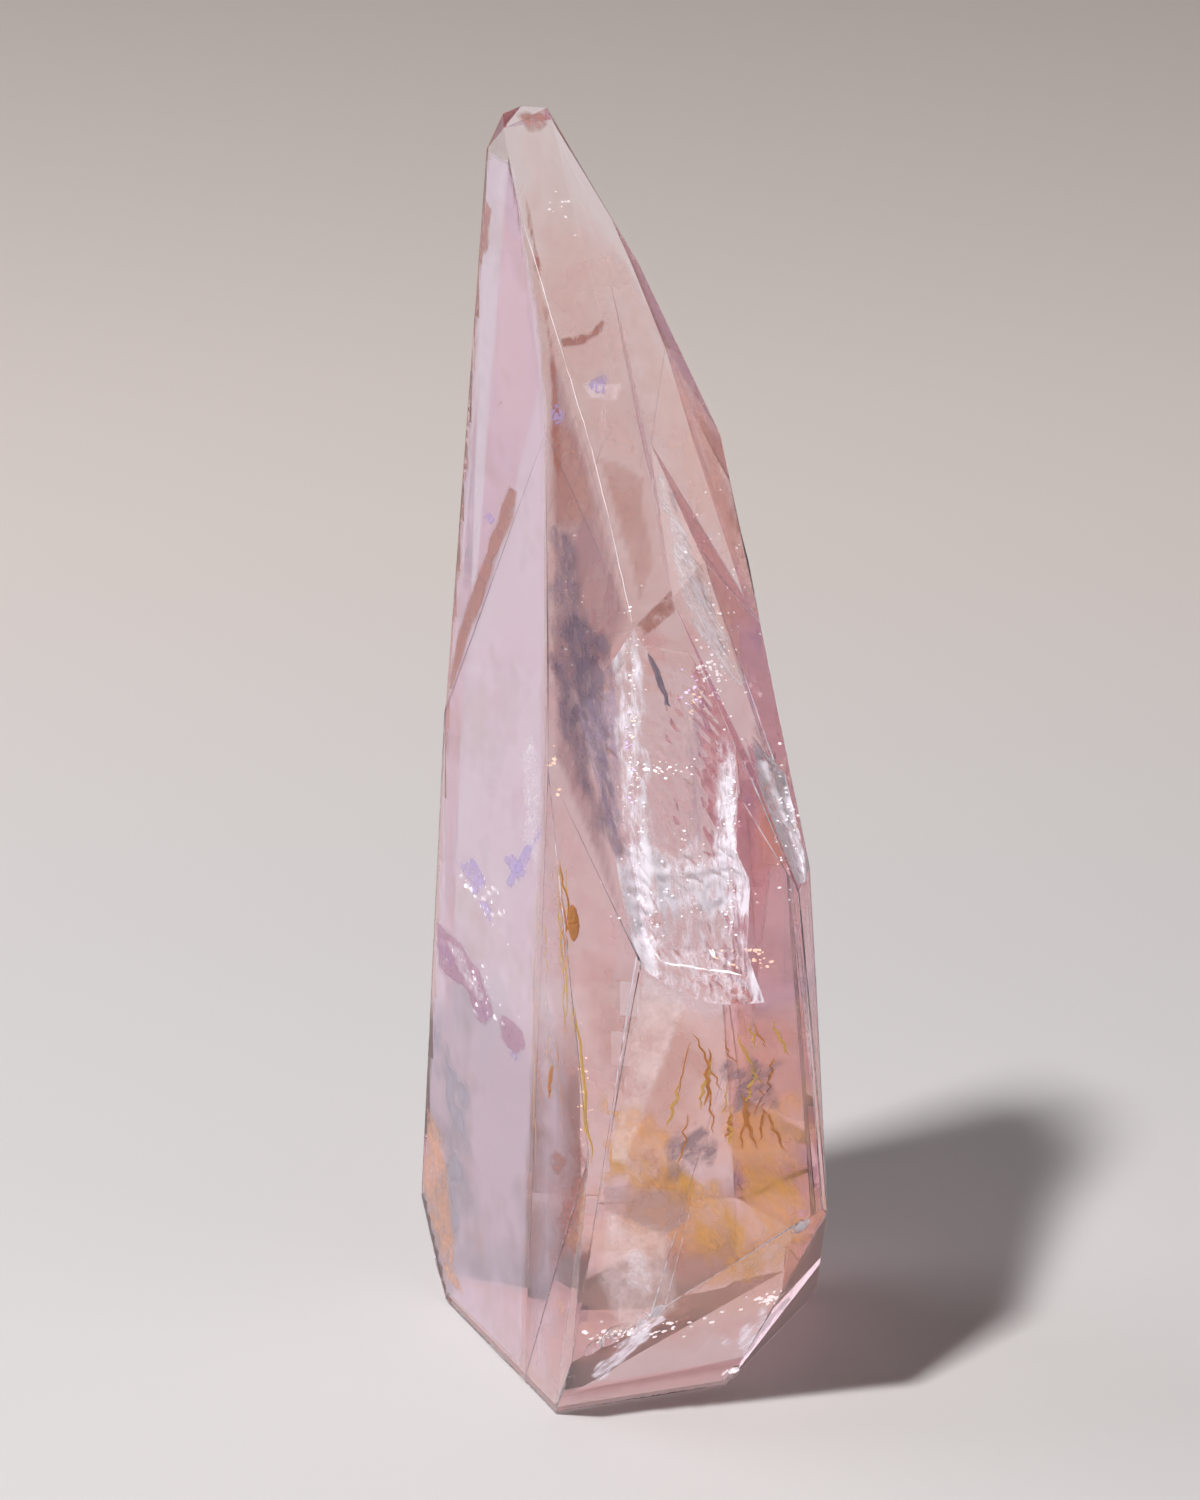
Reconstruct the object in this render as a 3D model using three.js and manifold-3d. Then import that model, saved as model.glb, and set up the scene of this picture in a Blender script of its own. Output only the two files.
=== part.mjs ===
// Rose quartz point: one polished, tapering crystal that stands on its cut base.
// Millimetres, +Z up. The origin is in the middle of the box around the crystal, on the base.
// The front faces -Y.

import * as THREE from 'three';
import { mergeVertices } from 'three/addons/utils/BufferGeometryUtils.js';
import Module from 'manifold-3d';

const wasm = await Module();
wasm.setup();

// Driving dimensions
const HEIGHT = 106.6;
const WIDTH = 34.2;
const DEPTH = 33.0;
const BREAK_DEPTH = 2.4;
const CHIP_SIZE = 1.0;

const HALF_WIDTH = WIDTH / 2;
const HALF_DEPTH = DEPTH / 2;

// Corners where the polished faces meet, each a place [x, y, z] on the crystal.
// The base outline, on the ground
const base = {
  front: [-5.3, -13.8, 0],
  leftFront: [-7.9, -7.9, 0],
  left: [-14.9, 7.6, 0],
  backLeft: [-8.3, 13.8, 0],
  backRight: [10.2, 14.8, 0],
  right: [HALF_WIDTH, 8.6, 0],
  rightFront: [9.1, -8.8, 0],
};

// The belly, where the crystal is widest, a little above the base
const belly = {
  front: [-3.9, -16.4, 5.8],
  stripLeft: [-2.5, -14.4, 23.4],
  stripRight: [-1.1, -14.8, 22.8],
  bevelFoot: [16.6, -15.1, 19.0],
  right: [17.0, -14.6, 18.4],
  left: [-HALF_WIDTH, 13.1, 7.3],
  backLeft: [-9.9, 16.4, 9.0],
  backRight: [9.9, HALF_DEPTH, 10.0],
  rightBack: [16.6, 10.8, 8.0],
};

// Halfway up, where the faces bend inwards
const waist = {
  left: [-14.5, 10.1, 53.1],
  wedge: [-5.7, -9.2, 54.8],
  front: [1.6, -13.3, 39.4],
  frontHigh: [2.4, -12.6, 47.3],
  bevelHead: [14.4, -12.7, 45.8],
  rightInner: [15.0, -10.4, 46.1],
  right: [15.4, -8.2, 46.2],
  rightBack: [13.1, 7.6, 50.0],
  backRight: [6.9, 13.8, 56.0],
  backLeft: [-9.1, 13.6, 56.0],
};

// The shoulder and the taper above it
const shoulder = {
  left: [1.0, -8.9, 67.1],
  right: [4.2, -7.4, 68.9],
  wedge: [-5.9, -4.0, 81.7],
  stripLow: [6.8, -4.6, 71.0],
  stripMiddle: [2.4, -1.7, 80.2],
  stripHigh: [-1.0, 0.1, 94.1],
  outerLow: [11.5, 1.2, 63.8],
  outerMiddle: [8.2, 4.8, 78.8],
  outerHigh: [1.6, 3.3, 93.4],
  back: [0.7, 10.6, 84.0],
};

// The blunt tip
const tip = {
  wedge: [-8.1, -0.9, 99.7],
  left: [-10.6, 4.7, 102.6],
  frontLeft: [-9.2, 1.2, 105.1],
  frontRight: [-5.4, 1.7, 105.7],
  topLeft: [-7.8, 2.6, HEIGHT],
  topRight: [-5.8, 2.9, 106.4],
  backLeft: [-9.3, 5.8, 105.2],
  backRight: [-5.7, 5.6, 105.6],
};

// Each face is a ring of corners. It is filled as a fan from its first corner.
const faces = [
  // the ground face
  [base.right, base.rightFront, base.front, base.leftFront, base.left, base.backLeft, base.backRight],

  // the wide left face, and the narrow one that cuts its front edge
  [waist.left, belly.left, base.left, base.leftFront, waist.wedge, shoulder.wedge, tip.wedge, tip.frontLeft, tip.left],
  [belly.stripLeft, waist.wedge, base.leftFront, base.front, belly.front],

  // the front wedge and the thin strip below it
  [shoulder.left, tip.wedge, shoulder.wedge, waist.wedge],
  [waist.wedge, belly.stripLeft, belly.stripRight, waist.front, waist.frontHigh, shoulder.left],
  [belly.stripLeft, belly.front, belly.stripRight],

  // the front right face: the slope below the tip, the shoulder and the wide lower window
  [tip.frontRight, tip.frontLeft, tip.wedge, shoulder.left, shoulder.right],
  [shoulder.left, waist.frontHigh, waist.bevelHead, shoulder.right],
  [belly.front, belly.bevelFoot, waist.bevelHead, waist.frontHigh, waist.front, belly.stripRight],

  // the bevels down the right edge
  [waist.bevelHead, belly.bevelFoot, belly.right, waist.rightInner],
  [belly.right, waist.right, waist.rightInner],
  [shoulder.right, waist.bevelHead, waist.rightInner, shoulder.stripLow, shoulder.stripMiddle,
    shoulder.stripHigh, tip.frontRight],

  // the curved right face, from the tip down
  [tip.frontRight, shoulder.stripHigh, shoulder.outerHigh, tip.topRight],
  [shoulder.stripHigh, shoulder.stripMiddle, shoulder.outerMiddle, shoulder.outerHigh],
  [shoulder.stripMiddle, shoulder.stripLow, shoulder.outerLow, shoulder.outerMiddle],
  [shoulder.stripLow, waist.rightInner, waist.right, shoulder.outerLow],

  // the two faces that lean in under the front and the right
  [base.front, base.rightFront, belly.right, belly.bevelFoot, belly.front],
  [base.rightFront, base.right, belly.right],

  // the right side and the back right
  [belly.right, base.right, belly.rightBack, waist.rightBack, waist.right],
  [base.backRight, belly.backRight, belly.rightBack, base.right],
  [belly.backRight, waist.backRight, waist.rightBack, belly.rightBack],
  [waist.rightBack, waist.backRight, shoulder.back, shoulder.outerMiddle, shoulder.outerLow, waist.right],
  [shoulder.back, tip.backRight, shoulder.outerHigh, shoulder.outerMiddle],
  [tip.backRight, tip.topRight, shoulder.outerHigh],

  // the back
  [base.backLeft, belly.backLeft, belly.backRight, base.backRight],
  [belly.backLeft, waist.backLeft, waist.backRight, belly.backRight],
  [waist.backLeft, tip.backLeft, tip.backRight, shoulder.back, waist.backRight],

  // the back left
  [base.left, belly.left, belly.backLeft, base.backLeft],
  [waist.left, tip.left, tip.backLeft, waist.backLeft, belly.backLeft, belly.left],

  // the tip
  [tip.frontLeft, tip.frontRight, tip.topRight, tip.topLeft],
  [tip.frontLeft, tip.topLeft, tip.backLeft, tip.left],
  [tip.topLeft, tip.topRight, tip.backRight, tip.backLeft],
];

// The ring of one face, in the order that makes the face point away from the middle.
function outwardRing(ring, middle) {
  const points = ring.map((corner) => new THREE.Vector3(...corner));
  const centre = new THREE.Vector3();
  points.forEach((point) => centre.addScaledVector(point, 1 / points.length));
  const normal = new THREE.Vector3();
  points.forEach((point, i) => {
    const next = points[(i + 1) % points.length];
    normal.add(point.clone().sub(centre).cross(next.clone().sub(centre)));
  });
  const outward = normal.dot(centre.sub(middle)) > 0;
  return outward ? points : [points[0], ...points.slice(1).reverse()];
}

function facetedGeometry(rings) {
  const middle = new THREE.Vector3(0, 0, HEIGHT * 0.4);
  const positions = [];
  for (const ring of rings) {
    const points = outwardRing(ring, middle);
    for (let i = 1; i + 1 < points.length; i += 1) {
      [points[0], points[i], points[i + 1]].forEach((point) => positions.push(...point.toArray()));
    }
  }
  const geometry = new THREE.BufferGeometry();
  geometry.setAttribute('position', new THREE.Float32BufferAttribute(positions, 3));
  return geometry;
}

// Straight lines between [place, value] points, carried on past both ends.
function along(points, at) {
  let i = 0;
  while (i < points.length - 2 && at > points[i + 1][0]) i += 1;
  const [from, low] = points[i];
  const [to, high] = points[i + 1];
  return low + ((high - low) * (at - from)) / (to - from);
}

// The same for a side of a break: its [x, z] points are evenly shared out from top to bottom.
function sidePoint(side, share) {
  const step = share * (side.length - 1);
  const x = along(side.map((point, i) => [i, point[0]]), step);
  const z = along(side.map((point, i) => [i, point[1]]), step);
  return [x, z];
}

// Depth under the polished face, by share across (0 left to 1 right) and share down.
// Outside the outline it is negative, which leaves the face alone. ripple holds the middle of
// the shell-like rings, how close they are, and how high they and the crackle are.
function breakDepth({ deep, across, down, ripple }, shareAcross, shareDown, x, z) {
  const outside = Math.max(-shareAcross, shareAcross - 1, -shareDown, shareDown - 1);
  if (outside > 0) return -deep * (0.25 + outside * 2);
  const shape = along(across, shareAcross) * along(down, shareDown);
  const rings = Math.sin(Math.hypot(x - ripple.x, z - ripple.z) * ripple.pitch);
  const crackle = Math.sin(x * 5.1 + z * 1.3) * Math.sin(z * 3.7 - x * 2.2);
  const rough = Math.min(1, shape * 3);
  return deep * shape + rough * (ripple.ring * rings + ripple.crackle * crackle);
}

// A closed cutter whose back is the broken surface and whose front is clear of the crystal.
function breakGeometry(crystal, shape) {
  const { left, right, cells } = shape;
  const [cellsAcross, cellsDown] = cells;
  const ray = new THREE.Raycaster();
  let surface = -HALF_DEPTH;
  const back = [];
  const front = [];
  for (let j = -1; j <= cellsDown + 1; j += 1) {
    for (let i = -1; i <= cellsAcross + 1; i += 1) {
      const [shareAcross, shareDown] = [i / cellsAcross, j / cellsDown];
      const [leftX, leftZ] = sidePoint(left, shareDown);
      const [rightX, rightZ] = sidePoint(right, shareDown);
      const x = THREE.MathUtils.lerp(leftX, rightX, shareAcross);
      const bow = shape.bow * shareDown * Math.sin(Math.PI * THREE.MathUtils.clamp(shareAcross, 0, 1));
      const z = THREE.MathUtils.lerp(leftZ, rightZ, shareAcross) - bow;
      ray.set(new THREE.Vector3(x, -DEPTH, z), new THREE.Vector3(0, 1, 0));
      const [hit] = ray.intersectObject(crystal);
      if (hit) surface = hit.point.y;
      back.push(x, surface + breakDepth(shape, shareAcross, shareDown, x, z), z);
      front.push(x, -DEPTH, z);
    }
  }
  const wide = cellsAcross + 3;
  const high = cellsDown + 3;
  const offset = wide * high;
  const index = [];
  const quad = (p, q, r, t) => index.push(p, r, q, p, t, r);
  for (let j = 0; j + 1 < high; j += 1) {
    for (let i = 0; i + 1 < wide; i += 1) {
      const p = j * wide + i;
      quad(p, p + wide, p + wide + 1, p + 1);
      quad(offset + p, offset + p + 1, offset + p + wide + 1, offset + p + wide);
    }
  }
  for (let i = 0; i + 1 < wide; i += 1) {
    const low = (high - 1) * wide + i;
    quad(i, i + 1, offset + i + 1, offset + i);
    quad(low + 1, low, offset + low, offset + low + 1);
  }
  for (let j = 0; j + 1 < high; j += 1) {
    const p = j * wide;
    const q = p + wide - 1;
    quad(p + wide, p, offset + p, offset + p + wide);
    quad(q, q + wide, offset + q + wide, offset + q);
  }
  const geometry = new THREE.BufferGeometry();
  geometry.setAttribute('position', new THREE.Float32BufferAttribute([...back, ...front], 3));
  geometry.setIndex(index);
  return geometry;
}

// An egg-shaped cutter. size is [across, deep, long], and tilt leans its top to the left.
function chipGeometry({ at, size, tilt }) {
  const geometry = new THREE.IcosahedronGeometry(1, 3);
  geometry.scale(...size);
  geometry.rotateY(THREE.MathUtils.degToRad(-tilt));
  geometry.translate(...at);
  return geometry;
}

function toSolid(geometry) {
  geometry.deleteAttribute('normal');
  geometry.deleteAttribute('uv');
  const merged = mergeVertices(geometry, 1e-4);
  return new wasm.Manifold(new wasm.Mesh({
    numProp: 3,
    vertProperties: new Float32Array(merged.attributes.position.array),
    triVerts: new Uint32Array(merged.index.array),
  }));
}

function toGeometry(solid) {
  const mesh = solid.getMesh();
  const geometry = new THREE.BufferGeometry();
  geometry.setAttribute('position', new THREE.Float32BufferAttribute(mesh.vertProperties, 3));
  geometry.setIndex(Array.from(mesh.triVerts));
  return geometry;
}

// The old break on the front: a trough on the left, a ridge, a wider hollow with a steep
// right wall, and a shell-shaped step at the foot. Its sides are [x, z] points, top first.
const frontBreak = {
  left: [[1.1, 65.8], [-1.3, 63.3], [-3.3, 60.1], [-2.2, 55.6], [-0.7, 50.3], [0.0, 46.3], [0.7, 42.3], [1.8, 39.4]],
  right: [[5.6, 64.7], [7.4, 61.6], [9.2, 57.3], [9.5, 53.9], [9.4, 49.1], [10.5, 46.7], [10.3, 40.8], [11.7, 36.6]],
  deep: BREAK_DEPTH,
  across: [[0, 0], [0.13, 0.72], [0.28, 0.3], [0.45, 0.68], [0.78, 1], [0.86, 0.9], [1, 0]],
  down: [[0, 0], [0.22, 0.42], [0.6, 0.85], [0.86, 1], [0.91, 0.5], [1, 0]],
  bow: 1.3,
  ripple: { x: 4, z: 66, pitch: 4.2, ring: 0.07, crackle: 0.11 },
  cells: [24, 44],
};

// The long flake off the right edge
const edgeFlake = {
  left: [[10.0, 57.6], [11.0, 54.2], [12.1, 51.5], [13.2, 48.8], [14.3, 46.2]],
  right: [[10.6, 57.7], [13.4, 53.4], [14.3, 50.0], [14.9, 47.6], [15.1, 45.9]],
  deep: BREAK_DEPTH * 0.85,
  across: [[0, 0], [0.3, 1], [0.7, 0.9], [1, 0]],
  down: [[0, 0], [0.15, 0.8], [0.6, 1], [0.9, 0.8], [1, 0]],
  bow: 0,
  ripple: { x: 16, z: 54, pitch: 6, ring: 0.05, crackle: 0.14 },
  cells: [7, 20],
};

// Small chips on the lower front edge, and one on the ground edge
function lowerChips() {
  const from = new THREE.Vector3(...belly.front);
  const to = new THREE.Vector3(...belly.right);
  const alongEdge = [[0.09, 0.8], [0.17, 1.1], [0.26, 1.0], [0.34, 0.6], [0.9, 0.7]];
  const chips = alongEdge.map(([share, scale]) => {
    const place = from.clone().lerp(to, share);
    const size = CHIP_SIZE * scale;
    return {
      at: [place.x, place.y - size * 0.45, place.z - size * 0.2],
      size: [size * 1.7, size * 0.8, size],
      tilt: 60,
    };
  });
  const [x, y] = base.rightFront;
  chips.push({ at: [x + 0.5, y - 0.6, 0.7], size: [1.5, 0.9, 0.8], tilt: 70 });
  return chips;
}

function roseQuartzPoint() {
  const whole = new THREE.Mesh(facetedGeometry(faces));
  const cutters = [
    breakGeometry(whole, frontBreak),
    breakGeometry(whole, edgeFlake),
    ...lowerChips().map(chipGeometry),
  ];
  let solid = toSolid(whole.geometry);
  for (const cutter of cutters) {
    solid = solid.subtract(toSolid(cutter));
  }
  const material = new THREE.MeshStandardMaterial({
    color: 0xe6c3c4,
    roughness: 0.06,
    metalness: 0,
    transparent: true,
    opacity: 0.6,
    flatShading: true,
  });
  const mesh = new THREE.Mesh(toGeometry(solid), material);
  mesh.name = 'rose_quartz_point';
  return mesh;
}

const object = new THREE.Group();
object.add(roseQuartzPoint());

export default object;
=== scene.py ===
"""Dresses the rose quartz point: clear pink stone, its old break, and what lies inside it.

Blender's metres, +Z up; the photographed front faces -Y. Lengths on and in the crystal follow its
height: one MM is a millimetre while the crystal stands 106.6 mm tall, and it grows with the crystal.
Places on the front are (x, z) in such millimetres. The table and the lamps are placed in metres.
"""

import math
import random

import bmesh
import bpy
from mathutils import Matrix, Vector, noise
from mathutils.bvhtree import BVHTree

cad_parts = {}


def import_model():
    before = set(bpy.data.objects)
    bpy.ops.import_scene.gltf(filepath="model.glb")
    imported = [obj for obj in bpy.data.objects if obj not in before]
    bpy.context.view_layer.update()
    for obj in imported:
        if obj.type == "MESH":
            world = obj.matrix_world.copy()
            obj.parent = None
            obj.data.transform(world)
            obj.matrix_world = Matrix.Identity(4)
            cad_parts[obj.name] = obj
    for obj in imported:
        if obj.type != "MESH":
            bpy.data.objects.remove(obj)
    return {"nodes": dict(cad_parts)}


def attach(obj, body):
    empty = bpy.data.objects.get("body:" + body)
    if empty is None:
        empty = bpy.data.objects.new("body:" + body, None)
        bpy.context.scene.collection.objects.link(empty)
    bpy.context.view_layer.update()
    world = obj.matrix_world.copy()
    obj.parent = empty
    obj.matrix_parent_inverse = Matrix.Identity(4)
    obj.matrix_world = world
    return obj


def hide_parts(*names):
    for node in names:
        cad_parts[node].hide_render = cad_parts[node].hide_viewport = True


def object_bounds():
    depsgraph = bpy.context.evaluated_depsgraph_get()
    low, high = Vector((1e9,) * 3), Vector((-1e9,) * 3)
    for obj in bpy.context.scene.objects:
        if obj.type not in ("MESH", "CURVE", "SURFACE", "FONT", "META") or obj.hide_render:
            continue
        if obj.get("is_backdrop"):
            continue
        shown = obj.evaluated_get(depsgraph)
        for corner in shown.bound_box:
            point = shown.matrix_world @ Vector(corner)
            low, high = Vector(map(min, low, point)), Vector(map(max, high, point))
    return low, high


NODE = "rose_quartz_point"

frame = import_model()
low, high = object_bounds()
solid = frame["nodes"][NODE]
HEIGHT = high.z - low.z
DRAWN_HEIGHT = 106.6
MM = HEIGHT / DRAWN_HEIGHT
MIDDLE = (low + high) / 2

# Triangles that differ by less than this are one flat face, and closer points are one point
FLAT_TURN = math.radians(0.3)
WELD = 0.005 * MM

# Polished edges that turn more than this are rounded a little
EDGE_ROUND = 0.16 * MM
EDGE_TURN = math.radians(6)

# Edges look sharp from here on, between polished faces and on the break
FOLD_TURN = math.radians(5)
BROKEN_TURN = math.radians(24)

# The break's faces are the small ones below this height
BROKEN_FACE = 2.2 * MM * MM
BROKEN_TOP = 0.7 * HEIGHT

# The break's ridges, and how many of them there are to a metre along x, y and z
RIDGE = 0.22 * MM
LENGTHWISE = (700, 300, 130)
SHELLS = (90, 90, 520)
CRACKLE = 420
CRACKLE_TOP = 0.45 * HEIGHT
CRACKLE_FADE = 0.05 * HEIGHT
SKIN = 0.02 * MM

# The break's parts as seen from the front, in millimetres
BREAK_TOP = 68
RIDGE_AT = 0.9
WALL_AT = 8.7
WALL_TOP = 59
WALL_FOOT = 42
ICE_TOP = 51
ICE_FOOT = 43
FLAKE_AT = 10.4

# The stone: how clear pink quartz bends and takes up light, and how rough its two kinds of face are
QUARTZ_IOR = 1.54
QUARTZ_TINT = (1.0, 0.95, 0.955)
QUARTZ_PINK = (0.88, 0.38, 0.47, 1)
QUARTZ_DENSITY = 14.0
POLISHED_ROUGHNESS = 0.015
BROKEN_ROUGHNESS = 0.16

# A film needs a crystal this many times thicker than the film is deep; with one such depth more
# it is full
ROOM_NEEDED = 1.2

# A film is left open where it steps more than this many cells in depth
LARGEST_STEP = 4

# How deep flakes lie in millimetres: well under the surface, close to it, and just on top of it
UNDER = 0.8
CLOSE = 0.25
ON_TOP = -0.06

# The table top in metres, and its tints in front and behind: painted light and shade on a plain table
TABLE_SIZE = 6.0
TABLE_BACK = 1.2
FRONT_TO = 0.06
BACK_FROM = 0.30
FRONT_TINT = (0.61, 0.60, 0.60, 1)
BACK_TINT = (0.74, 0.68, 0.64, 1)

# The camera: its lens and sensor are in the millimetres of a camera
LENS = 134.4
SENSOR = 36
PITCH = math.radians(20)
DISTANCE = 458.8 * MM
AIM_LEFT = 1.57 * MM

INWARD = Vector((0, 1, 0))
FORWARD = Vector((0, -1, 0))

# A hair of air under the crystal, so that light gets in through its base
FLOOR_GAP = 0.3 * MM


def add_mesh(name, mesh, material, body="root"):
    """Puts a mesh in the scene as a piece of the part."""
    piece = bpy.data.objects.new(name, mesh)
    bpy.context.scene.collection.objects.link(piece)
    if material:
        mesh.materials.clear()
        mesh.materials.append(material)
    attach(piece, body)
    return piece


def add_shape(name, shape, material, smooth=False):
    """Makes a piece of a bmesh, which is freed."""
    mesh = bpy.data.meshes.new(name)
    shape.to_mesh(mesh)
    shape.free()
    if smooth:
        mesh.polygons.foreach_set("use_smooth", [True] * len(mesh.polygons))
    return add_mesh(name, mesh, material)


def new_material(name, colour, roughness):
    """A material with one Principled shader, and that shader."""
    material = bpy.data.materials.new(name)
    material.use_nodes = True
    shader = material.node_tree.nodes["Principled BSDF"]
    shader.inputs["Base Color"].default_value = (*colour, 1)
    shader.inputs["Roughness"].default_value = roughness
    return material, shader


def crystal_material():
    """Clear pink quartz: smooth where it is polished, a little rough where it broke."""
    material, shader = new_material("rose quartz", QUARTZ_TINT, POLISHED_ROUGHNESS)
    tree = material.node_tree
    shader.inputs["Transmission Weight"].default_value = 1.0
    shader.inputs["IOR"].default_value = QUARTZ_IOR
    broken = tree.nodes.new("ShaderNodeAttribute")
    broken.attribute_name = "broken"
    rough = tree.nodes.new("ShaderNodeMapRange")
    rough.inputs["To Min"].default_value = POLISHED_ROUGHNESS
    rough.inputs["To Max"].default_value = BROKEN_ROUGHNESS
    tree.links.new(broken.outputs["Fac"], rough.inputs["Value"])
    tree.links.new(rough.outputs["Result"], shader.inputs["Roughness"])
    pink = tree.nodes.new("ShaderNodeVolumeAbsorption")
    pink.inputs["Color"].default_value = QUARTZ_PINK
    pink.inputs["Density"].default_value = QUARTZ_DENSITY
    tree.links.new(pink.outputs["Volume"], tree.nodes["Material Output"].inputs["Volume"])
    return material


def film_material(
    name, colour, cover, patch, roughness=0.5, start=0.22, full=0.5, streak=1.0, slant=0.0, glow=0.2
):
    """A thin film inside the crystal, there where a cloud of noise is thick enough.

    cover is the most of it there is and patch how wide its patches are. start and full are the
    noise at which it begins and is complete. streak draws the patches out along a line that
    slants by that many degrees from upright. glow stands for the lamplight that gets through the
    crystal to the film."""
    material, shader = new_material(name, colour, roughness)
    shader.inputs["Emission Color"].default_value = (*colour, 1)
    shader.inputs["Emission Strength"].default_value = glow
    tree = material.node_tree
    place = tree.nodes.new("ShaderNodeTexCoord")
    stretch = tree.nodes.new("ShaderNodeMapping")
    stretch.vector_type = "TEXTURE"
    stretch.inputs["Rotation"].default_value = (0, math.radians(slant), 0)
    stretch.inputs["Scale"].default_value = (patch, patch, patch * streak)
    cloud = tree.nodes.new("ShaderNodeTexNoise")
    cloud.inputs["Scale"].default_value = 1
    cloud.inputs["Detail"].default_value = 3
    cloud.inputs["Roughness"].default_value = 0.65
    edge = tree.nodes.new("ShaderNodeAttribute")
    edge.attribute_name = "cover"
    thin = tree.nodes.new("ShaderNodeMath")
    thin.operation = "MULTIPLY"
    fade = tree.nodes.new("ShaderNodeMapRange")
    fade.inputs["From Min"].default_value = start
    fade.inputs["From Max"].default_value = full
    fade.inputs["To Max"].default_value = cover
    tree.links.new(place.outputs["Object"], stretch.inputs["Vector"])
    tree.links.new(stretch.outputs["Vector"], cloud.inputs["Vector"])
    tree.links.new(cloud.outputs["Fac"], thin.inputs[0])
    tree.links.new(edge.outputs["Fac"], thin.inputs[1])
    tree.links.new(thin.outputs["Value"], fade.inputs["Value"])
    tree.links.new(fade.outputs["Result"], shader.inputs["Alpha"])
    return material


def grain_material(name, colour, roughness=0.45, glow=0.15):
    """Needles, grains and flakes of one colour, a little uneven. Their glow is painted light: it stands
    for the lamplight that gets through the crystal to them.
    """
    material, shader = new_material(name, colour, roughness)
    shader.inputs["Emission Color"].default_value = (*colour, 1)
    shader.inputs["Emission Strength"].default_value = glow
    tree = material.node_tree
    mottle = tree.nodes.new("ShaderNodeTexNoise")
    mottle.inputs["Scale"].default_value = 900
    tint = tree.nodes.new("ShaderNodeMix")
    tint.data_type = "RGBA"
    tint.inputs["A"].default_value = (*(0.6 * part for part in colour), 1)
    tint.inputs["B"].default_value = (*(min(1, 1.25 * part) for part in colour), 1)
    tree.links.new(mottle.outputs["Fac"], tint.inputs["Factor"])
    tree.links.new(tint.outputs["Result"], shader.inputs["Base Color"])
    return material


def is_broken(face):
    """True for the small faces of the break and the chips, not for the polished ones."""
    return face.calc_area() < BROKEN_FACE and face.calc_center_median().z < BROKEN_TOP


def join_flat_faces(shape):
    """Joins the triangles of each flat face and rounds the polished edges a little."""
    bmesh.ops.remove_doubles(shape, verts=shape.verts, dist=WELD)
    bmesh.ops.dissolve_limit(
        shape, angle_limit=FLAT_TURN, verts=shape.verts, edges=shape.edges
    )
    polished_edges = [
        edge
        for edge in shape.edges
        if len(edge.link_faces) == 2
        and not any(is_broken(face) for face in edge.link_faces)
        and edge.calc_face_angle() > EDGE_TURN
    ]
    bmesh.ops.bevel(
        shape,
        geom=polished_edges,
        offset=EDGE_ROUND,
        segments=2,
        profile=0.5,
        affect="EDGES",
        clamp_overlap=True,
    )


def ridge_height(place):
    """How far the break stands out at a place: long shell-like ridges, and crackle low down."""
    lengthwise = noise.noise(place * Vector(LENGTHWISE))
    shells = noise.noise(place * Vector(SHELLS))
    crackle = noise.turbulence(place * CRACKLE, 2, True) - 0.5
    lower = min(1, max(0, (CRACKLE_TOP - place.z) / CRACKLE_FADE))
    return RIDGE * (0.9 * lengthwise + 0.5 * shells + 1.3 * lower * crackle)


def roughen_break(shape):
    """Splits the break's faces finer and lifts them into ridges. Its rim stays where it is."""
    broken = shape.verts.layers.float.new("broken")
    mark = shape.faces.layers.int.new("mark")
    broken_faces = [face for face in shape.faces if is_broken(face)]
    for face in broken_faces:
        face[mark] = 1
    bmesh.ops.triangulate(shape, faces=broken_faces)
    inner_edges = [
        edge for edge in shape.edges if all(face[mark] for face in edge.link_faces)
    ]
    bmesh.ops.subdivide_edges(shape, edges=inner_edges, cuts=2, use_grid_fill=True)
    shape.normal_update()
    inner_points = [
        point for point in shape.verts if all(face[mark] for face in point.link_faces)
    ]
    for point in inner_points:
        point.co += point.normal * ridge_height(point.co)
        point[broken] = 1.0
    for edge in shape.edges:
        rough = any(face[mark] for face in edge.link_faces)
        limit = BROKEN_TURN if rough else FOLD_TURN
        edge.smooth = edge.calc_face_angle(0) < limit


def dressed_crystal(material):
    """The crystal itself: the solid with softened edges and a crackled break."""
    mesh = solid.data.copy()
    shape = bmesh.new()
    shape.from_mesh(mesh)
    join_flat_faces(shape)
    roughen_break(shape)
    shape.to_mesh(mesh)
    shape.free()
    mesh.polygons.foreach_set("use_smooth", [True] * len(mesh.polygons))
    crystal = add_mesh("crystal", mesh, material)
    weigh = crystal.modifiers.new("even normals", "WEIGHTED_NORMAL")
    weigh.keep_sharp = True
    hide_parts(NODE)
    return crystal


def surface_finder():
    """A search tree of the solid, to find its front surface at a place."""
    return BVHTree.FromObject(solid, bpy.context.evaluated_depsgraph_get())


finder = surface_finder()


def before(x, z, inward=INWARD):
    """A point well outside the crystal, from which a ray goes inward at x and z."""
    return Vector((x * MM, 0, z * MM)) - inward * HEIGHT


def inside(x, z, deep):
    """A point under the front surface, deep below it, and the surface's normal there.

    x, z and deep are in millimetres."""
    place, normal, _, _ = finder.ray_cast(before(x, z), INWARD)
    if place is None:
        raise ValueError(f"nothing of the crystal at x {x}, z {z}")
    return place - normal * deep * MM, normal


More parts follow.
